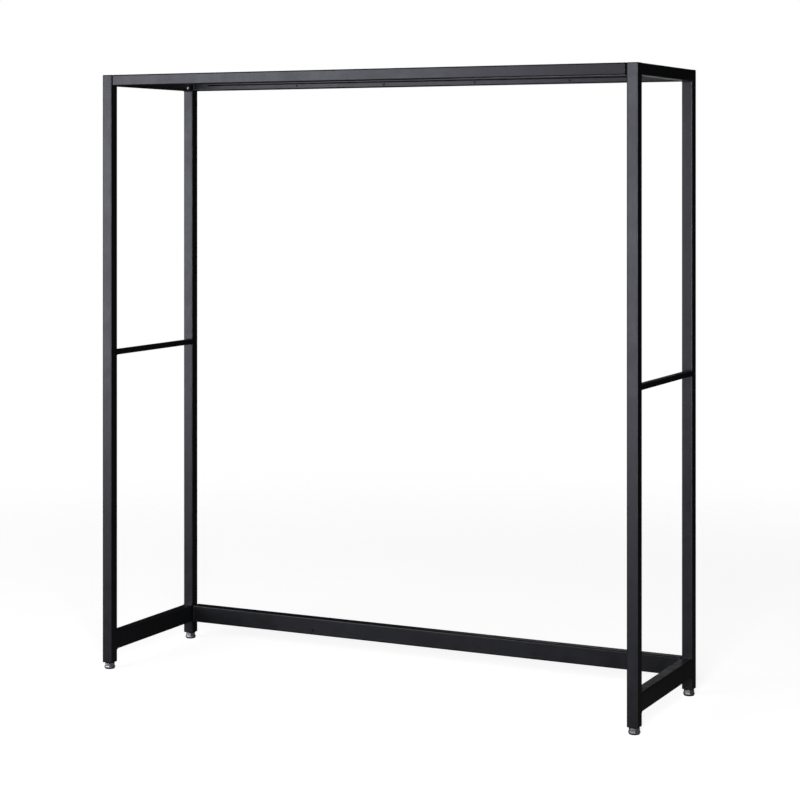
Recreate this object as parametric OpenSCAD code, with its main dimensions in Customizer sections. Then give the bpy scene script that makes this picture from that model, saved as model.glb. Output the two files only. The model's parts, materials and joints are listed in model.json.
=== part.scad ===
// Knock-down steel frame of a retail shelving bay: two end frames joined by
// three cross rails, standing on four levelling feet.
// Origin at the centre of the footprint on the floor, X across, +Y to the rear, Z up.

/* [Overall size] */
// Outside width over the two end frames
unit_w = 1300; // [1280:10:1500]
// Outside depth, front post face to rear post face
unit_d = 375; // [300:5:600]
// Length of a post over its insert flange and its cap
post_h = 1350; // [1000:10:1600]

/* [Main tube] */
// Outside size of the square tube of posts and top rails
tube_w = 25; // [24:1:30]
// Wall thickness of the main tubes
tube_wall = 1.5; // [1.2:0.1:2]
// Outside corner radius of the main tubes
tube_r = 2.8; // [2.1:0.1:3.5]

/* [Base rails and mid bars] */
// Height of the base rail tube
base_rail_h = 40; // [36:1:60]
// Underside of the base rails above the post ends
base_rail_lift = 28; // [26:1:80]
// Width of the mid bar tube
mid_bar_w = 15; // [12:1:20]
// Height of the mid bar tube
mid_bar_h = 12; // [10:1:20]
// Wall thickness of the mid bar tube
mid_bar_wall = 1.2; // [1:0.1:1.4]
// Outside corner radius of the mid bar tube
mid_bar_r = 1.6; // [1.5:0.1:2]
// Underside of the left mid bar above the post ends
left_bar_lift = 706; // [400:1:900]
// Underside of the right mid bar above the post ends
right_bar_lift = 683; // [400:1:900]

/* [Rail joints] */
// Gap between each end of a cross rail and its post
rail_gap = 4; // [1:0.5:5]
// Clearance of a spigot inside its rail, each side
spigot_play = 0.2; // [0.1:0.05:0.4]
// Wall thickness of a spigot
spigot_wall = 2.5; // [2:0.5:4]
// Depth of a cross rail's spigot inside its rail
spigot_reach = 23; // [20:1:26]
// Length of a side rail's spigot
side_spigot_len = 36; // [30:1:50]
// Distance of the side rail screws from the post faces
side_screw_inset = 21; // [15:1:25]
// Diameter of the side rail screws' thread
side_screw_d = 5; // [4:1:6]
// Distance of the grub screws from the rail ends
grub_inset = 15; // [10:1:20]
// Diameter of the grub screws
grub_d = 6; // [5:1:8]

/* [Rear rail slot and holes] */
// Height of the lengthwise slot
slot_h = 3; // [2:0.5:4]
// Centre of the slot above the rail's underside
slot_lift = 12.5; // [12.5:0.5:17]
// Solid length left at each end of the slot
slot_land = 40; // [30:5:100]
// Diameter of the fixing holes in the rear rails
fix_hole_d = 5; // [4:0.5:5.5]
// Centre of the fixing holes above the top rail's underside
fix_hole_lift = 7; // [6.5:0.1:7.2]
// Number of fixing holes in the top rail
fix_hole_count = 4; // [2:1:6]
// Pitch of the fixing holes in the top rail
fix_hole_pitch = 232; // [100:1:250]
// Sideways offset of the hole row from the rail's middle
fix_row_shift = 15; // [-20:1:20]
// Distance of the base rail's fixing hole to the left of its middle
base_hole_offset = 290; // [100:10:500]
// Centre of the base rail's hole above its underside
base_hole_lift = 11; // [9:1:20]

/* [Levelling feet] */
// Height of a foot at rest, floor to post end
foot_h = 15; // [15:0.5:20]
// Space between the foot body and the post end at rest
foot_gap = 1; // [0.9:0.1:2]
// Size across the flats of the foot body
foot_flats = 21; // [19:0.5:21]
// Diameter of the foot body's collar
collar_d = 25; // [24.3:0.1:25]
// Diameter of the sole pad
pad_d = 22.4; // [18:0.1:24]
// Length of stud above the foot body
stud_reach = 42; // [36:1:60]

/* [Hidden] */
$fn = 48;
// How far a cutting shape stands past the face it cuts
skin = 1;
// Clearance of a screw thread in its bore, and of a turning piece, each side
play = 0.05;
run_play = 0.06;

// Levelling foot: collar, sole pad and the snap that holds the pad
collar_h = 3;
pad_h = 2.6;
pad_play = 0.2;
pad_edge = 0.6;
neck_d = 8;
neck_h = 1.2;
snap_d = 10;
snap_h = 1.4;
// Levelling foot: M8 stud, its root in the body, its tip chamfer, the hexagon's chamfer
stud_d = 8;
stud_root = 1.1;
stud_tip = 1;
hex_chamfer = 1;
hex_slope = 30;

// Post ends: flange and its stepped rim, plugs, captive M8 nut
flange_h = 2;
flange_step = 0.7;
plug_play = 0.1;
cap_plug_h = 12;
cap_plug_wall = 2;
insert_plug_h = 22;
nut_flats = 13;
nut_h = 6.5;
nut_play = 0.1;

// Screws: button head, hexagon socket, lengths
head_d = 9.5;
head_h = 2.75;
head_flat_d = 4.5;
key_flats = 3;
key_depth = 1.6;
screw_len = 8;
grub_len = 8;
grub_sink = 0.5;

post_x = (unit_w - tube_w) / 2;
post_y = (unit_d - tube_w) / 2;
bay_w = unit_w - 2 * tube_w;
bay_d = unit_d - 2 * tube_w;
frame_top = foot_h + post_h;
top_rail_z = frame_top - tube_w / 2;
base_rail_z = foot_h + base_rail_lift + base_rail_h / 2;
rail_len = bay_w - 2 * rail_gap;
tube_in = tube_w - 2 * tube_wall;
plug_r = tube_r - tube_wall;
spigot_size = tube_in - 2 * spigot_play;
spigot_tall = base_rail_h - 2 * tube_wall - 2 * spigot_play;
body_base = pad_h + pad_play;
body_top = foot_h - foot_gap;
snap_base = pad_h + neck_h;
side_screw_z = top_rail_z - tube_w / 2 + fix_hole_lift;
foot_flat_r = foot_flats / 2;
foot_corner_r = foot_flat_r / cos(30);
hex_cone_h = (foot_corner_r + skin - foot_flat_r + hex_chamfer) * tan(hex_slope);

// ---- sections and tubes ----

// Rectangle with round corners, centred
module rounded_rect(w, h, r) {
    square([w - 2 * r, h], center = true);
    square([w, h - 2 * r], center = true);
    for (x = [-1, 1], y = [-1, 1])
        translate([x * (w / 2 - r), y * (h / 2 - r)]) circle(r);
}

// Hollow section of a drawn tube
module tube_section(w, h, r, wall) {
    difference() {
        rounded_rect(w, h, r);
        rounded_rect(w - 2 * wall, h - 2 * wall, r - wall);
    }
}

// Runs a section along X, its width along Y
module along_x(length) {
    rotate([90, 0, 90]) linear_extrude(length, center = true) children();
}

// Runs a section along Y, its width along X
module along_y(length) {
    rotate([90, 0, 0]) linear_extrude(length, center = true) children();
}

module main_section() {
    tube_section(tube_w, tube_w, tube_r, tube_wall);
}

module base_section() {
    tube_section(tube_w, base_rail_h, tube_r, tube_wall);
}

// Places a child at a post's centre line, side -1 left or 1 right, row -1 front or 1 rear
module at_post(side, row) {
    translate([side * post_x, row * post_y, 0]) children();
}

// Round hole along Y through one wall, centred on the face at y
module wall_hole_y(x, y, z, d) {
    translate([x, y, z]) rotate([90, 0, 0])
        cylinder(d = d, h = 2 * (tube_wall + skin), center = true);
}

// Round hole along X through one wall, centred on the face at x
module wall_hole_x(x, y, z, d) {
    translate([x, y, z]) rotate([0, 90, 0])
        cylinder(d = d, h = 2 * (tube_wall + skin), center = true);
}

// ---- end frames ----

module post(side, row) {
    color("#17181b") at_post(side, row)
        translate([0, 0, foot_h + flange_h])
            linear_extrude(post_h - 2 * flange_h) main_section();
}

// The side rail's locking screws pass through its inner face
module top_side_rail(side) {
    color("#17181b") difference() {
        translate([side * post_x, 0, top_rail_z]) along_y(bay_d) main_section();
        for (row = [-1, 1])
            wall_hole_x(side * bay_w / 2, row * (bay_d / 2 - side_screw_inset),
                side_screw_z, side_screw_d + 2 * spigot_play);
    }
}

module base_side_rail(side) {
    color("#17181b") translate([side * post_x, 0, base_rail_z])
        along_y(bay_d) base_section();
}

// Both end frames carry the mid bar flush with their right-hand face
module mid_bar(side, lift) {
    x = side * post_x + (tube_w - mid_bar_w) / 2;
    color("#17181b") translate([x, 0, foot_h + lift + mid_bar_h / 2])
        along_y(bay_d) tube_section(mid_bar_w, mid_bar_h, mid_bar_r, mid_bar_wall);
}

// ---- cross rails ----

// Holes for the grub screws, in the rear face of a cross rail
module grub_holes(row, z) {
    for (side = [-1, 1])
        wall_hole_y(side * (rail_len / 2 - grub_inset), row * post_y + tube_w / 2, z,
            grub_d + 2 * spigot_play);
}

module front_top_rail() {
    color("#17181b") difference() {
        translate([0, -post_y, top_rail_z]) along_x(rail_len) main_section();
        grub_holes(-1, top_rail_z);
    }
}

module rear_top_rail() {
    under = top_rail_z - tube_w / 2;
    face_y = post_y - tube_w / 2;
    row_start = fix_row_shift - fix_hole_pitch * (fix_hole_count - 1) / 2;
    color("#17181b") difference() {
        translate([0, post_y, top_rail_z]) along_x(rail_len) main_section();
        grub_holes(1, top_rail_z);
        translate([0, face_y, under + slot_lift])
            cube([rail_len - 2 * slot_land, 2 * (tube_wall + skin), slot_h], center = true);
        for (i = [0:fix_hole_count - 1])
            wall_hole_y(row_start + i * fix_hole_pitch, face_y,
                under + fix_hole_lift, fix_hole_d);
    }
}

module rear_base_rail() {
    under = base_rail_z - base_rail_h / 2;
    color("#17181b") difference() {
        translate([0, post_y, base_rail_z]) along_x(rail_len) base_section();
        grub_holes(1, base_rail_z);
        wall_hole_y(-base_hole_offset, post_y - tube_w / 2, under + base_hole_lift,
            fix_hole_d);
    }
}

// ---- spigots and screws ----

module spigot_section(h) {
    tube_section(spigot_size, h, spigot_wall + plug_r, spigot_wall);
}

// Spigot standing on a post's inner face, inside the end of a cross rail
module cross_spigot(side, row, z, h) {
    length = rail_gap + spigot_reach;
    x = side * (bay_w - length) / 2;
    color("#121214") difference() {
        translate([x, row * post_y, z]) along_x(length) spigot_section(h);
        translate([side * (rail_len / 2 - grub_inset), row * post_y + spigot_size / 2, z])
            rotate([90, 0, 0]) cylinder(d = grub_d, h = 2 * (spigot_wall + skin), center = true);
    }
}

// Spigot standing on a post's face, inside the end of a top side rail
module side_spigot(side, row) {
    y = row * (bay_d - side_spigot_len) / 2;
    color("#121214") difference() {
        translate([side * post_x, y, top_rail_z]) along_y(side_spigot_len)
            spigot_section(spigot_size);
        translate([side * (post_x - spigot_size / 2),
                row * (bay_d / 2 - side_screw_inset), side_screw_z])
            rotate([0, 90, 0])
                cylinder(d = side_screw_d, h = 2 * (spigot_wall + skin), center = true);
    }
}

// Headless screw with its outer end at the origin, pointing along -Z
module grub_screw() {
    difference() {
        translate([0, 0, -grub_len]) cylinder(d = grub_d - 2 * play, h = grub_len);
        translate([0, 0, -2 * key_depth])
            cylinder(d = key_flats / cos(30), h = 2 * key_depth + skin, $fn = 6);
    }
}

module cross_rail_grub_screws() {
    color("#2b2b2e") for (side = [-1, 1], place = [[-1, top_rail_z], [1, top_rail_z],
            [1, base_rail_z]])
        translate([side * (rail_len / 2 - grub_inset),
                place[0] * post_y + tube_w / 2 - grub_sink, place[1]])
            rotate([-90, 0, 0]) grub_screw();
}

// Button-head screw, underside of the head at the origin, head along +Z
module button_screw() {
    difference() {
        union() {
            translate([0, 0, -screw_len]) cylinder(d = side_screw_d - 2 * play, h = screw_len);
            rotate_extrude() intersection() {
                square([head_d / 2, head_h]);
                union() {
                    square([head_flat_d / 2, head_h]);
                    translate([head_d / 2 - head_h, 0]) circle(head_h);
                    square([head_d / 2 - head_h, head_h]);
                }
            }
        }
        translate([0, 0, head_h - key_depth])
            cylinder(d = key_flats / cos(30), h = key_depth + skin, $fn = 6);
    }
}

module side_rail_screws() {
    color("#c9ccd0") for (side = [-1, 1], row = [-1, 1])
        translate([side * bay_w / 2, row * (bay_d / 2 - side_screw_inset), side_screw_z])
            rotate([0, -side * 90, 0]) button_screw();
}

// ---- post ends ----

// Square plug that fits a post's hollow end
module plug_section() {
    rounded_rect(tube_in - 2 * plug_play, tube_in - 2 * plug_play, plug_r);
}

// Flange the size of the tube, its outer rim stepped in
module end_flange() {
    linear_extrude(flange_h - flange_step) rounded_rect(tube_w, tube_w, tube_r);
    linear_extrude(flange_h)
        rounded_rect(tube_w - 2 * flange_step, tube_w - 2 * flange_step, tube_r - flange_step);
}

module post_cap(side, row) {
    color("#101012") at_post(side, row) translate([0, 0, frame_top - flange_h]) {
        end_flange();
        translate([0, 0, -cap_plug_h]) linear_extrude(cap_plug_h) difference() {
            plug_section();
            square(tube_in - 2 * plug_play - 2 * cap_plug_wall, center = true);
        }
    }
}

module foot_insert(side, row) {
    pocket_base = foot_h + flange_h + insert_plug_h - nut_h;
    color("#101012") at_post(side, row) difference() {
        translate([0, 0, foot_h]) {
            translate([0, 0, flange_h]) mirror([0, 0, 1]) end_flange();
            translate([0, 0, flange_h]) linear_extrude(insert_plug_h) plug_section();
        }
        translate([0, 0, foot_h - skin])
            cylinder(d = stud_d + 2 * play, h = insert_plug_h + flange_h + 2 * skin);
        translate([0, 0, pocket_base])
            cylinder(d = (nut_flats + 2 * nut_play) / cos(30), h = nut_h + skin, $fn = 6);
    }
}

module foot_insert_nuts() {
    color("#b9bcc0") for (side = [-1, 1], row = [-1, 1]) at_post(side, row)
        translate([0, 0, foot_h + flange_h + insert_plug_h - nut_h]) difference() {
            cylinder(d = nut_flats / cos(30), h = nut_h, $fn = 6);
            translate([0, 0, -skin]) cylinder(d = stud_d + 2 * play, h = nut_h + 2 * skin);
        }
}

// ---- levelling feet ----

// Hexagonal body on a round collar; the pad snaps into its underside
module foot_body(side, row) {
    color("#c4c8cc") at_post(side, row) difference() {
        union() {
            rotate_extrude() translate([0, body_base]) union() {
                square([collar_d / 2 - collar_h / 3, collar_h]);
                translate([0, collar_h / 3]) square([collar_d / 2, collar_h * 2 / 3]);
                translate([collar_d / 2 - collar_h / 3, collar_h / 3]) circle(collar_h / 3);
            }
            intersection() {
                translate([0, 0, body_base + collar_h])
                    cylinder(r = foot_corner_r, h = body_top - body_base - collar_h, $fn = 6);
                rotate_extrude() polygon([[0, body_base],
                    [foot_corner_r + skin, body_base],
                    [foot_corner_r + skin, body_top - hex_cone_h],
                    [foot_flat_r - hex_chamfer, body_top], [0, body_top]]);
            }
        }
        translate([0, 0, body_base - skin]) cylinder(d = neck_d + 2 * run_play, h = neck_h + skin);
        translate([0, 0, snap_base - run_play])
            cylinder(d = snap_d + 2 * run_play, h = snap_h + pad_play + run_play);
        translate([0, 0, snap_base + snap_h + stud_root]) cylinder(d = stud_d, h = foot_h);
    }
}

module foot_stud(side, row) {
    base = snap_base + snap_h + stud_root;
    tip = body_top + stud_reach;
    color("#b4b7ba") at_post(side, row) rotate_extrude()
        polygon([[0, base], [stud_d / 2, base], [stud_d / 2, tip - stud_tip],
            [stud_d / 2 - stud_tip, tip], [0, tip]]);
}

module foot_pad(side, row) {
    color("#1a1a1c") at_post(side, row) rotate_extrude() {
        polygon([[0, 0], [pad_d / 2 - pad_edge, 0], [pad_d / 2, pad_edge],
            [pad_d / 2, pad_h - pad_edge], [pad_d / 2 - pad_edge, pad_h],
            [neck_d / 2, pad_h], [neck_d / 2, snap_base], [snap_d / 2, snap_base],
            [snap_d / 2, snap_base + snap_h], [0, snap_base + snap_h]]);
    }
}

// ---- the assembly ----

post(-1, -1);  // left_front_post
post(1, -1);  // right_front_post
post(-1, 1);  // left_rear_post
post(1, 1);  // right_rear_post
front_top_rail();
rear_top_rail();
rear_base_rail();
top_side_rail(-1);  // left_top_side_rail
top_side_rail(1);  // right_top_side_rail
base_side_rail(-1);  // left_base_side_rail
base_side_rail(1);  // right_base_side_rail
mid_bar(-1, left_bar_lift);  // left_mid_bar
mid_bar(1, right_bar_lift);  // right_mid_bar
post_cap(-1, -1);  // left_front_post_cap
post_cap(1, -1);  // right_front_post_cap
post_cap(-1, 1);  // left_rear_post_cap
post_cap(1, 1);  // right_rear_post_cap
cross_spigot(-1, -1, top_rail_z, spigot_size);  // front_rail_left_spigot
cross_spigot(1, -1, top_rail_z, spigot_size);  // front_rail_right_spigot
cross_spigot(-1, 1, top_rail_z, spigot_size);  // rear_top_rail_left_spigot
cross_spigot(1, 1, top_rail_z, spigot_size);  // rear_top_rail_right_spigot
cross_spigot(-1, 1, base_rail_z, spigot_tall);  // rear_base_rail_left_spigot
cross_spigot(1, 1, base_rail_z, spigot_tall);  // rear_base_rail_right_spigot
side_spigot(-1, -1);  // left_side_rail_front_spigot
side_spigot(-1, 1);  // left_side_rail_rear_spigot
side_spigot(1, -1);  // right_side_rail_front_spigot
side_spigot(1, 1);  // right_side_rail_rear_spigot
cross_rail_grub_screws();
side_rail_screws();
foot_insert(-1, -1);  // left_front_foot_insert
foot_insert(1, -1);  // right_front_foot_insert
foot_insert(-1, 1);  // left_rear_foot_insert
foot_insert(1, 1);  // right_rear_foot_insert
foot_insert_nuts();
foot_body(-1, -1);  // left_front_foot_body
foot_body(1, -1);  // right_front_foot_body
foot_body(-1, 1);  // left_rear_foot_body
foot_body(1, 1);  // right_rear_foot_body
foot_stud(-1, -1);  // left_front_foot_stud
foot_stud(1, -1);  // right_front_foot_stud
foot_stud(-1, 1);  // left_rear_foot_stud
foot_stud(1, 1);  // right_rear_foot_stud
foot_pad(-1, -1);  // left_front_foot_pad
foot_pad(1, -1);  // right_front_foot_pad
foot_pad(-1, 1);  // left_rear_foot_pad
foot_pad(1, 1);  // right_rear_foot_pad
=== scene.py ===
import json
import math
import random

import bpy
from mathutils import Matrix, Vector

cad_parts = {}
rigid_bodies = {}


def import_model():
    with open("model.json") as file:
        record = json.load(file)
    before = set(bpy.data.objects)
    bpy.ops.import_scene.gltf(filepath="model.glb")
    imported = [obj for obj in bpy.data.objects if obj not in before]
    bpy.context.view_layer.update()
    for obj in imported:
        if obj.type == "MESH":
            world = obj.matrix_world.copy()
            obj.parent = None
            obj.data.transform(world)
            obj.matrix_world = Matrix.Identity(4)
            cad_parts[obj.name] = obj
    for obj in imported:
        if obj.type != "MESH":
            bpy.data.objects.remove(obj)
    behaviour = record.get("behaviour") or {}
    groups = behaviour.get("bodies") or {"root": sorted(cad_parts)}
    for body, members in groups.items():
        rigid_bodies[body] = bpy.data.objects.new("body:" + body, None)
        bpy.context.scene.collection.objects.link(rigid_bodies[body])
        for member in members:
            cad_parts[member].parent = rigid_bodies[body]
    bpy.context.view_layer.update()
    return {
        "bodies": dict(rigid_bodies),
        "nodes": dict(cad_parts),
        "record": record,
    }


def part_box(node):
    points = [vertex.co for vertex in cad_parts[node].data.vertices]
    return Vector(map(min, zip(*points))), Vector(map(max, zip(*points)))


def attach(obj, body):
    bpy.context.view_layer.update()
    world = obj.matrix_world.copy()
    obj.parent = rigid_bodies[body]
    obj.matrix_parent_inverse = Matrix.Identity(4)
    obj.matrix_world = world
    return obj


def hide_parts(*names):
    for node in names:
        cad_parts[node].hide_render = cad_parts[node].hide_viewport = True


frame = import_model()

MM = 0.001
SEED = 41
CORNERS = ("left_front", "right_front", "left_rear", "right_rear")
SIDES = ("left", "right")
rng = random.Random(SEED)


# ---------------------------------------------------------------- shader graphs

class Graph:
    """A short way to write a material's node graph."""

    def __init__(self, name):
        self.material = bpy.data.materials.new(name)
        self.material.use_nodes = True
        self.tree = self.material.node_tree
        self.tree.nodes.clear()
        self.out = self.tree.nodes.new("ShaderNodeOutputMaterial")

    def node(self, kind, inputs=None, **settings):
        made = self.tree.nodes.new(kind)
        for key, value in settings.items():
            setattr(made, key, value)
        for key, value in (inputs or {}).items():
            self.feed(made.inputs[key], value)
        return made

    def feed(self, socket, value):
        if isinstance(value, bpy.types.NodeSocket):
            self.tree.links.new(value, socket)
        else:
            socket.default_value = value

    def math(self, operation, a, b=0.0, clamp=False):
        made = self.node("ShaderNodeMath", {0: a, 1: b}, operation=operation, use_clamp=clamp)
        return made.outputs[0]

    def spread(self, value, low, high, to_low=0.0, to_high=1.0, smooth=True):
        """Maps low..high onto to_low..to_high, clamped."""
        made = self.node("ShaderNodeMapRange", {
            "Value": value, "From Min": low, "From Max": high,
            "To Min": to_low, "To Max": to_high})
        made.interpolation_type = "SMOOTHSTEP" if smooth else "LINEAR"
        return made.outputs["Result"]

    def noise(self, place, scale, detail=3.0, rough=0.5, shift=0.0):
        made = self.node("ShaderNodeTexNoise", {
            "Vector": place, "Scale": scale, "Detail": detail, "Roughness": rough,
            "W": shift}, noise_dimensions="4D")
        return made.outputs["Fac"]

    def mix(self, share, a, b):
        made = self.node("ShaderNodeMix", data_type="RGBA")
        self.feed(made.inputs[0], share)
        self.feed(made.inputs[6], a)
        self.feed(made.inputs[7], b)
        return made.outputs[2]

    def bump(self, height, strength, distance, normal=None):
        inputs = {"Height": height, "Strength": strength, "Distance": distance}
        if normal is not None:
            inputs["Normal"] = normal
        return self.node("ShaderNodeBump", inputs).outputs["Normal"]

    def place(self):
        return self.node("ShaderNodeTexCoord").outputs["Object"]

    def leaning_normal(self):
        """The surface normal, turned about the upright by the object's own lean angle."""
        normal = self.node("ShaderNodeNewGeometry").outputs["Normal"]
        angle = self.node("ShaderNodeAttribute", attribute_type="OBJECT", attribute_name="lean")
        return self.node("ShaderNodeVectorRotate", {
            "Vector": normal, "Angle": angle.outputs["Fac"]}, rotation_type="Z_AXIS").outputs[0]

    def edge(self):
        """1 on the rounded corners of an axis-aligned tube, 0 on its flats."""
        normal = self.node("ShaderNodeNewGeometry").outputs["True Normal"]
        size = self.node("ShaderNodeVectorMath", {0: normal}, operation="ABSOLUTE").outputs[0]
        axes = self.node("ShaderNodeSeparateXYZ", {0: size}).outputs
        largest = self.math("MAXIMUM", self.math("MAXIMUM", axes[0], axes[1]), axes[2])
        return self.spread(largest, 0.99, 0.75)

    def facing_up(self):
        normal = self.node("ShaderNodeNewGeometry").outputs["True Normal"]
        up = self.node("ShaderNodeSeparateXYZ", {0: normal}).outputs[2]
        return self.spread(up, 0.6, 0.95)

    def finish(self, **inputs):
        surface = self.node("ShaderNodeBsdfPrincipled")
        for key, value in inputs.items():
            self.feed(surface.inputs[key.replace("_", " ")], value)
        self.tree.links.new(surface.outputs[0], self.out.inputs["Surface"])
        return self.material


def grey(value, blue=0.0):
    return (value, value * (1 + blue * 0.3), value * (1 + blue), 1.0)


SHEEN = (0.86, 0.86, 1.0, 1.0)


def powder_coat(name, shift, lumpy=0.0, worn=0.0):
    """Fine-textured semi-matt black powder coat, rubbed lighter on the tube corners."""
    g = Graph(name)
    place = g.place()
    cloud = g.noise(place, 14.0, 4.0, 0.55, shift)
    smear = g.noise(place, 55.0, 5.0, 0.6, shift + 3)
    peel = g.noise(place, 420.0, 2.0, 0.5, shift + 5)
    grain = g.noise(place, 1900.0, 2.0, 0.6, shift + 9)
    edge = g.edge()
    patchy = g.spread(g.noise(place, 90.0, 4.0, 0.65, shift + 13), 0.46, 0.72)
    rub = g.math("MULTIPLY", edge, g.math("ADD", g.math("MULTIPLY", patchy, 0.75), 0.25))
    dust = g.math("MULTIPLY", g.facing_up(), g.spread(smear, 0.35, 0.75))

    cells = g.node("ShaderNodeTexVoronoi", {"Vector": place, "Scale": 48.0, "Randomness": 1.0})
    rare = g.spread(g.node("ShaderNodeSeparateColor", {0: cells.outputs["Color"]}).outputs[0],
                    0.90, 0.93)
    fleck = g.math("MULTIPLY", rare, g.spread(cells.outputs["Distance"], 0.055, 0.02))

    base = g.mix(cloud, grey(0.005, 0.15), grey(0.009, 0.25))
    base = g.mix(g.math("MULTIPLY", rub, 0.40), base, grey(0.045, 0.10))
    base = g.mix(g.math("MULTIPLY", dust, 0.22), base, grey(0.060, -0.05))
    base = g.mix(g.math("MULTIPLY", fleck, 0.5), base, grey(0.20))
    if worn:
        chips = g.spread(g.noise(place, 600.0, 4.0, 0.6, shift + 21), 0.42, 0.58)
        base = g.mix(g.math("MULTIPLY", chips, worn), base, grey(0.20, 0.08))
    rough = g.spread(g.math("ADD", g.math("MULTIPLY", cloud, 0.5),
                            g.math("MULTIPLY", smear, 0.5)), 0.35, 0.65, 0.30, 0.38)
    rough = g.math("SUBTRACT", rough, g.math("MULTIPLY", rub, 0.06))
    rough = g.math("ADD", rough, g.math("MULTIPLY", dust, 0.12))
    normal = g.bump(peel, 0.16, 0.25 * MM, g.leaning_normal())
    normal = g.bump(grain, 0.26, 0.08 * MM, normal)
    if lumpy:
        normal = g.bump(g.noise(place, 700.0, 3.0, 0.5, shift + 17), lumpy, 0.4 * MM, normal)
    return g.finish(Base_Color=base, Roughness=rough, Normal=normal,
                    Specular_IOR_Level=0.5, Specular_Tint=SHEEN)


def matt_black(name, tone, rough_from, rough_to, gloss):
    """A dull black surface with a fine grain and pale scuffs: moulded plastic or dipped steel."""
    g = Graph(name)
    place = g.place()
    cloud = g.noise(place, 60.0, 3.0, 0.5, 2.0)
    grain = g.noise(place, 2600.0, 2.0, 0.5, 4.0)
    scuff = g.spread(g.noise(place, 240.0, 5.0, 0.7, 6.0), 0.58, 0.74)
    base = g.mix(cloud, grey(tone * 0.8), grey(tone * 1.25))
    base = g.mix(g.math("MULTIPLY", scuff, 0.3), base, grey(tone * 3.2))
    rough = g.spread(cloud, 0.3, 0.7, rough_from, rough_to)
    normal = g.bump(grain, 0.25, 0.06 * MM)
    return g.finish(Base_Color=base, Roughness=rough, Normal=normal, Specular_IOR_Level=gloss)


def plated(name, tone, blue, rough_from, rough_to, turned, stains_and_shade_amount):
    """Plated steel with turned rings, haze, patchy stains and painted shade that darkens it over
    the lowest few millimetres above the floor.
    """
    g = Graph(name)
    place = g.place()
    height = g.node("ShaderNodeSeparateXYZ", {0: place}).outputs[2]
    haze = g.noise(place, 170.0, 4.0, 0.6, 1.0)
    stain = g.spread(g.noise(place, 420.0, 5.0, 0.65, 7.0), 0.5, 0.8)
    rings = g.math("SINE", g.math("ADD", g.math("MULTIPLY", height, math.tau / (0.42 * MM)),
                                  g.math("MULTIPLY", haze, 2.0)))
    # Painted shade: the colour darkens towards the floor over the lowest few millimetres, and the
    # stain noise adds patchy staining everywhere.
    low = g.spread(height, 6.5 * MM, 2.5 * MM)
    stains_and_floor_shade = g.math("MULTIPLY", g.math("ADD", g.math("MULTIPLY", low, 0.6), 0.25), stain)
    base = g.mix(haze, grey(tone * 0.86, blue), grey(min(1.0, tone * 1.08), blue))
    base = g.mix(g.math("MULTIPLY", stains_and_floor_shade, stains_and_shade_amount), base, grey(0.10, -0.2))
    rough = g.spread(haze, 0.3, 0.7, rough_from, rough_to)
    rough = g.math("ADD", rough, g.math("MULTIPLY", stains_and_floor_shade, 0.25))
    normal = g.bump(rings, turned, 0.02 * MM)
    normal = g.bump(g.noise(place, 1500.0, 2.0, 0.5, 3.0), 0.08, 0.03 * MM, normal)
    return g.finish(Base_Color=base, Roughness=rough, Normal=normal, Metallic=1.0)


FINISHES = {
    "powder_coat": powder_coat("powder_coat_black", 0.0),
    "spigot_steel": matt_black("ecoat_black", 0.004, 0.76, 0.88, 0.12),
    "black_plastic": matt_black("plug_plastic", 0.008, 0.66, 0.80, 0.22),
    "sole_pad": matt_black("sole_nylon", 0.010, 0.66, 0.80, 0.30),
    "chrome_plate": plated("foot_chrome", 0.68, 0.05, 0.27, 0.38, 0.14, 0.45),
    "zinc_steel": plated("stud_zinc", 0.55, 0.08, 0.24, 0.38, 0.05, 0.4),
    "bright_screw": plated("screw_zinc", 0.90, -0.04, 0.46, 0.58, 0.05, 0.1),
    "dark_steel": plated("grub_oxide", 0.09, 0.05, 0.34, 0.46, 0.05, 0.3),
}
WELD_FINISH = powder_coat("powder_coat_weld", 30.0, lumpy=0.5)
EDGE_FINISH = powder_coat("powder_coat_cut_edge", 40.0, worn=0.45)

# How far each piece's shading is turned about the upright, in degrees. Only the shading
# normal turns: the meshes stay square.
LEAN = 0.4
TURNED = {"right_front_post": -7.2, "right_rear_post": -0.8}

for part in frame["record"]["subparts"]:
    cad = frame["nodes"][part["node"]]
    cad["lean"] = math.radians(TURNED.get(part["node"], rng.uniform(-LEAN, LEAN)))
    cad.data.materials.clear()
    cad.data.materials.append(FINISHES[part["material_slot"]])


# ---------------------------------------------------------------- meshes

def add_mesh(name, points, faces, material, body):
    """A closed mesh in the shared frame, riding on a body."""
    mesh = bpy.data.meshes.new(name)
    mesh.from_pydata([tuple(p) for p in points], [], faces)
    mesh.validate()
    mesh.polygons.foreach_set("use_smooth", [True] * len(mesh.polygons))
    mesh.materials.append(material)
    made = bpy.data.objects.new(name, mesh)
    bpy.context.scene.collection.objects.link(made)
    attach(made, body)
    return made


def ring_faces(rows, around, closed):
    """Quads between rows of points; closed joins the last row to the first, else caps."""
    faces = []
    for i in range(rows if closed else rows - 1):
        low, high = i * around, ((i + 1) % rows) * around
        for k in range(around):
            n = (k + 1) % around
            faces.append((low + k, low + n, high + n, high + k))
    if not closed:
        faces.append(tuple(reversed(range(around))))
        faces.append(tuple(range((rows - 1) * around, rows * around)))
    return faces


# ---- welds between the end frames' rails and posts

TUBE_EDGE = 2.8 * MM
WELD_CORNER = 1.6 * MM
CORNER_STEPS = 4
WELD_STEP = 0.7 * MM
WELD_RING = 12
RIPPLE = 2.3 * MM
RIPPLE_HEIGHT = 0.10
WELD_JITTER = 0.03
TOP_RAIL_LEG = 1.7 * MM
BASE_RAIL_LEG = 1.9 * MM
MID_BAR_LEG = 1.3 * MM
# A bead that is ground back: how much thinner and wider it is, how far it still stands
# proud, and how far it moves towards its post.
GROUND_THINNER = 0.35
GROUND_WIDER = 0.45
GROUND_PROUD = 0.22 * MM
GROUND_SHIFT = 0.6


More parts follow.
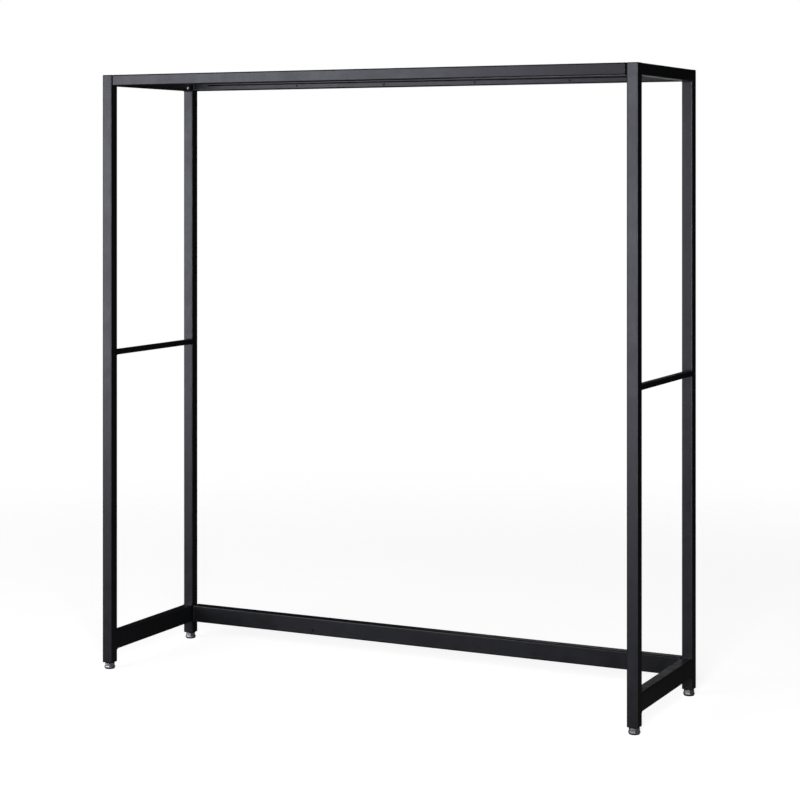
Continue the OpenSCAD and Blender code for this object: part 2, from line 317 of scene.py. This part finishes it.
def outline(x0, x1, z0, z1, r, open_top):
    """Points and outward directions round a rail's section, starting at its top."""
    corners = [((x1 - r, z1 - r), 90, 0), ((x1 - r, z0 + r), 0, -90),
               ((x0 + r, z0 + r), -90, -180), ((x0 + r, z1 - r), -180, -270)]
    knots = []
    for (cx, cz), start, end in corners:
        for i in range(CORNER_STEPS + 1):
            a = math.radians(start + (end - start) * i / CORNER_STEPS)
            knots.append((cx + r * math.cos(a), cz + r * math.sin(a), math.cos(a), math.sin(a)))
    if open_top:
        knots = knots[CORNER_STEPS:-CORNER_STEPS]
    else:
        knots.append(knots[0])
    line = []
    for a, b in zip(knots, knots[1:]):
        steps = max(1, round(math.hypot(b[0] - a[0], b[1] - a[1]) / WELD_STEP))
        for i in range(steps):
            line.append([p + (q - p) * i / steps for p, q in zip(a, b)])
    if open_top:
        line.append(list(knots[-1]))
    return line


def weld(name, node, row, flush, open_top, leg):
    """One bead where a rail of an end frame meets its front or rear post.

    row is -1 at the front post and 1 at the rear post. On the sides named in flush the
    bead is ground back to the tube faces; elsewhere it stands out as a small fillet.
    """
    low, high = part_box(node)
    joint_y = high.y if row > 0 else low.y
    line = outline(low.x, high.x, low.z, high.z, WELD_CORNER, open_top)
    travel, points = 0.0, []
    phase = rng.uniform(0, math.tau)
    for i, (x, z, nx, nz) in enumerate(line):
        size = math.hypot(nx, nz)
        nx, nz = nx / size, nz / size
        if i:
            travel += math.hypot(x - line[i - 1][0], z - line[i - 1][1])
        right = nx if "right" in flush else 0.0
        left = -nx if "left" in flush else 0.0
        ground = max(right, left, 0.0) ** 2
        wave = 0.5 + 0.5 * math.sin(phase + travel * math.tau / RIPPLE)
        uneven = RIPPLE_HEIGHT * wave + rng.uniform(-WELD_JITTER, WELD_JITTER)
        grow = 1 + (1 - ground) * uneven
        reach = leg * grow
        half_n = reach * (1 - GROUND_THINNER * ground)
        half_y = reach * (1 + GROUND_WIDER * ground)
        inset = ground * (half_n - GROUND_PROUD)
        shift = ground * GROUND_SHIFT * leg * row
        for k in range(WELD_RING):
            a = math.tau * k / WELD_RING
            out = half_n * math.cos(a) - inset
            points.append((x + nx * out, joint_y + shift + half_y * math.sin(a), z + nz * out))
    faces = ring_faces(len(line), WELD_RING, not open_top)
    return add_mesh(name, points, faces, WELD_FINISH, "frame")


for side in SIDES:
    for row, end in ((-1, "front"), (1, "rear")):
        weld(f"{side}_top_side_rail_{end}_weld", f"{side}_top_side_rail", row,
             SIDES, True, TOP_RAIL_LEG)
        weld(f"{side}_base_side_rail_{end}_weld", f"{side}_base_side_rail", row,
             SIDES, False, BASE_RAIL_LEG)
        weld(f"{side}_mid_bar_{end}_weld", f"{side}_mid_bar", row,
             ("right",), False, MID_BAR_LEG)


# ---- rounded lips round the cut openings and the cross rails' cut ends

LIP_RING = 8
LIP = 0.35 * MM
LIP_PROUD = 0.18 * MM
END_LIP = 0.55 * MM
END_LIP_PROUD = 0.1 * MM
END_LIP_INSET = END_LIP * 0.6
SLOT_END_BULGE = 0.2 * MM


def lip(name, path, normal, radius, proud, finish):
    """A bead along a closed plane path, standing out of the face that normal points from."""
    points = []
    for i, p in enumerate(path):
        along = (path[(i + 1) % len(path)] - path[i - 1]).normalized()
        across = along.cross(normal)
        for k in range(LIP_RING):
            a = math.tau * k / LIP_RING
            points.append(p + normal * (proud - radius + radius * math.sin(a))
                          + across * (radius * math.cos(a)))
    return add_mesh(name, points, ring_faces(len(path), LIP_RING, True), finish,
                    "frame")


def circle_path(centre, radius, steps=24):
    return [centre + Vector((radius * math.cos(math.tau * k / steps), 0,
                             radius * math.sin(math.tau * k / steps))) for k in range(steps)]


def slot_path(x0, x1, y, z, height, step=8 * MM):
    count = round((x1 - x0) / step)
    xs = [x0 + (x1 - x0) * i / count for i in range(count + 1)]
    low, high = z - height / 2, z + height / 2
    path = [Vector((x, y, low)) for x in xs]
    path.append(Vector((x1 + SLOT_END_BULGE, y, z)))
    path += [Vector((x, y, high)) for x in reversed(xs)]
    path.append(Vector((x0 - SLOT_END_BULGE, y, z)))
    return path


SLOT_LAND = 40 * MM
SLOT_HEIGHT = 3 * MM
BASE_HOLE_OFFSET = 290 * MM
BASE_HOLE_LIFT = 11 * MM
BASE_HOLE_RADIUS = 2.5 * MM
FORWARD = Vector((0, -1, 0))

low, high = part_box("rear_top_rail")
face_y = low.y
lip("rear_rail_slot_lip",
    slot_path(low.x + SLOT_LAND, high.x - SLOT_LAND, face_y, (low.z + high.z) / 2, SLOT_HEIGHT),
    FORWARD, LIP, LIP_PROUD, FINISHES["powder_coat"])
for mount in frame["record"]["mounts"]:
    if mount["kind"] == "bolt_pattern":
        x, y, z = mount["pos_m"]
        for side, sign in zip(SIDES, (-1, 1)):
            centre = Vector((x + sign * mount["dims"]["spacing_x_mm"] * MM / 2, y, z))
            lip(f"{mount['name']}_{side}_lip", circle_path(centre, mount["dims"]["hole_r_mm"] * MM),
                FORWARD, LIP, LIP_PROUD, FINISHES["powder_coat"])

low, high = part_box("rear_base_rail")
lip("rear_base_rail_hole_lip",
    circle_path(Vector(((low.x + high.x) / 2 - BASE_HOLE_OFFSET, low.y, low.z + BASE_HOLE_LIFT)),
                BASE_HOLE_RADIUS), FORWARD, LIP, LIP_PROUD, FINISHES["powder_coat"])

for rail in ("front_top_rail", "rear_top_rail", "rear_base_rail"):
    low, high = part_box(rail)
    for side, x, sign in (("left", low.x, -1), ("right", high.x, 1)):
        path = [Vector((x, p, q)) for p, q, _, _ in
                outline(low.y + END_LIP_INSET, high.y - END_LIP_INSET,
                        low.z + END_LIP_INSET, high.z - END_LIP_INSET,
                        TUBE_EDGE - END_LIP_INSET, False)]
        lip(f"{rail}_{side}_end_lip", path, Vector((sign, 0, 0)), END_LIP, END_LIP_PROUD,
            EDGE_FINISH)


# ---- rolled threads on the feet's studs

PITCH = 1.25 * MM
THREAD_DEPTH = 0.74 * MM
THREAD_AROUND = 28
THREAD_ROWS = 8
CREST_WIDTH = 0.12
FLANK_WIDTH = 0.70
TIP_LENGTH = 1.2 * MM
TIP_DEPTH = 1.0 * MM


def thread_depth(turn):
    """Share of the thread's depth at a place along one pitch, 0 at the crest."""
    t = abs((turn % 1.0) - 0.5) * 2
    return min(1.0, max(0.0, (t - CREST_WIDTH) / FLANK_WIDTH))


def stud(corner):
    low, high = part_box(f"{corner}_foot_stud")
    cx, cy = (low.x + high.x) / 2, (low.y + high.y) / 2
    radius = (high.x - low.x) / 2
    rows = int((high.z - low.z) / PITCH * THREAD_ROWS)
    points = []
    for i in range(rows + 1):
        z = low.z + (high.z - low.z) * i / rows
        lead = min(1.0, (high.z - z) / TIP_LENGTH)
        for k in range(THREAD_AROUND):
            a = math.tau * k / THREAD_AROUND
            cut = THREAD_DEPTH * thread_depth((z - low.z) / PITCH - a / math.tau)
            r = min(radius - cut, radius - (1 - lead) * TIP_DEPTH)
            points.append((cx + r * math.cos(a), cy + r * math.sin(a), z))
    faces = ring_faces(rows + 1, THREAD_AROUND, False)
    made = add_mesh(f"{corner}_threaded_stud", points, faces, FINISHES["zinc_steel"],
                    f"{corner}_screw")
    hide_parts(f"{corner}_foot_stud")


for corner in CORNERS:
    stud(corner)


# ---------------------------------------------------------------- stage

STATION = Vector((2.082, -4.191, 1.143))
HEADING = math.radians(26.19)
LENS = 93.9
LENS_DROP = -0.2855
STATION_REACH = 0.05
SENSOR = 36.0
SIGHT = 60.0
ROOM_LIGHT, ROOM_LIGHT_AWAY = 0.012, 0.42


def link(made):
    bpy.context.scene.collection.objects.link(made)
    return made


def by_distance(owner, path, camera, marker, near, far):
    """owner.path is near while the camera stands at the marker, and far anywhere else."""
    curve = owner.driver_add(path)
    curve.driver.type = "SUM"
    away = curve.driver.variables.new()
    away.type = "LOC_DIFF"
    away.targets[0].id = camera
    away.targets[1].id = marker
    for modifier in list(curve.modifiers):
        curve.modifiers.remove(modifier)
    curve.keyframe_points.add(2)
    curve.keyframe_points[0].co = (0.0, near)
    curve.keyframe_points[1].co = (STATION_REACH, far)
    for key in curve.keyframe_points:
        key.interpolation = "LINEAR"
    curve.extrapolation = "CONSTANT"
    curve.update()


camera_data = bpy.data.cameras.new("camera")
camera = link(bpy.data.objects.new("camera", camera_data))
camera.location = STATION
camera.rotation_euler = (math.pi / 2, 0, HEADING)
camera_data.lens = LENS
camera_data.sensor_width = SENSOR
camera_data.clip_end = SIGHT
bpy.context.scene.camera = camera
marker = link(bpy.data.objects.new("camera_station", None))
marker.location = STATION
# The camera stands level and its lens is shifted, so that upright posts stay parallel.
by_distance(camera_data, "shift_y", camera, marker, LENS_DROP, 0.0)


def softbox(name, place, target, width, height, power, away=None):
    """An area light of the given size; away is its power in views from elsewhere."""
    data = bpy.data.lights.new(name, "AREA")
    data.shape = "RECTANGLE"
    data.size, data.size_y = width, height
    data.energy = power
    made = link(bpy.data.objects.new(name, data))
    made.location = place
    made.rotation_euler = (Vector(target) - Vector(place)).to_track_quat("-Z", "Y").to_euler()
    made.visible_camera = False
    if away is not None:
        by_distance(data, "energy", camera, marker, power, away)
    return made


softbox("key_softbox", (-2.7, -3.7, 1.2), (-2.7, 0.0, 1.2), 3.2, 2.4, 112, away=50)
softbox("edge_softbox", (1.2, -2.6, 1.0), (0.0, 0.0, 0.8), 0.6, 1.7, 52, away=6)
softbox("back_softbox", (-0.5, 3.4, 1.7), (0.0, 0.0, 0.9), 0.8, 1.4, 0.2)
softbox("horizon_softbox", (-1.6, 6.0, 0.65), (0.4, 0.0, 0.65), 1.8, 0.9, 4.0)
softbox("rear_softbox", (0.7, 3.8, 1.9), (0.0, 0.0, 0.6), 3.6, 2.6, 0, away=45)
softbox("top_softbox", (0.2, 0.3, 3.6), (0.0, 0.0, 0.0), 2.6, 1.6, 0, away=50)
softbox("right_softbox", (3.8, -0.8, 1.9), (0.0, 0.0, 0.7), 2.8, 2.4, 0, away=90)

world = bpy.data.worlds.new("studio")
bpy.context.scene.world = world
world.use_nodes = True
tree = world.node_tree
tree.nodes.clear()
paper = tree.nodes.new("ShaderNodeBackground")
paper.inputs["Color"].default_value = (1, 1, 1, 1)
paper.inputs["Strength"].default_value = 1.0
room = tree.nodes.new("ShaderNodeBackground")
room.inputs["Color"].default_value = (0.95, 0.97, 1.0, 1)
by_distance(room.inputs["Strength"], "default_value", camera, marker, ROOM_LIGHT, ROOM_LIGHT_AWAY)
seen = tree.nodes.new("ShaderNodeLightPath")
pick = tree.nodes.new("ShaderNodeMixShader")
sky = tree.nodes.new("ShaderNodeOutputWorld")
tree.links.new(seen.outputs["Is Camera Ray"], pick.inputs[0])
tree.links.new(room.outputs[0], pick.inputs[1])
tree.links.new(paper.outputs[0], pick.inputs[2])
tree.links.new(pick.outputs[0], sky.inputs["Surface"])
bpy.context.scene.view_settings.view_transform = "Standard"


# ---- floor: pale paper that fades into the backdrop

FLOOR_RADIUS = 7.0
FLOOR_STEPS = 96
FADE_FROM, FADE_TO = 1.3, 3.5
FLOOR_GLOW, FLOOR_GLOW_AWAY = 0.88, 0.35


def floor_material():
    g = Graph("floor_paper")
    place = g.place()
    tooth = g.noise(place, 8.0, 5.0, 0.5, 11.0)
    away = g.node("ShaderNodeVectorMath", {0: place}, operation="LENGTH").outputs["Value"]
    fade = g.spread(away, FADE_FROM, FADE_TO)
    rays = g.node("ShaderNodeLightPath").outputs
    paper_tone = g.mix(tooth, grey(0.50), grey(0.56))
    shade = g.node("ShaderNodeBsdfDiffuse", {"Color": paper_tone}).outputs[0]
    glow = g.node("ShaderNodeEmission", {"Color": grey(1.0)})
    by_distance(glow.inputs["Strength"], "default_value", camera, marker,
                FLOOR_GLOW, FLOOR_GLOW_AWAY)
    lit = g.node("ShaderNodeAddShader", {0: shade, 1: glow.outputs[0]}).outputs[0]
    dim = g.node("ShaderNodeBsdfDiffuse", {"Color": grey(0.19)}).outputs[0]
    clear = g.node("ShaderNodeBsdfTransparent").outputs[0]
    seen_floor = g.node("ShaderNodeMixShader", {0: rays["Is Camera Ray"], 1: dim, 2: lit})
    whole = g.node("ShaderNodeMixShader", {0: fade, 1: seen_floor.outputs[0], 2: clear})
    g.tree.links.new(whole.outputs[0], g.out.inputs["Surface"])
    return g.material


floor_mesh = bpy.data.meshes.new("floor")
rim = [(FLOOR_RADIUS * math.cos(math.tau * k / FLOOR_STEPS),
        FLOOR_RADIUS * math.sin(math.tau * k / FLOOR_STEPS), 0.0) for k in range(FLOOR_STEPS)]
floor_mesh.from_pydata(rim, [], [tuple(range(FLOOR_STEPS))])
floor_mesh.materials.append(floor_material())
floor = link(bpy.data.objects.new("floor", floor_mesh))

# The floor stays under the lowest sole, so a wound-out foot still stands on it.
drop = floor.driver_add("location", 2)
drop.driver.type = "MIN"
for corner in CORNERS:
    sole = drop.driver.variables.new()
    sole.type = "TRANSFORMS"
    sole.targets[0].id = frame["bodies"][f"{corner}_pad"]
    sole.targets[0].transform_type = "LOC_Z"
    sole.targets[0].transform_space = "WORLD_SPACE"
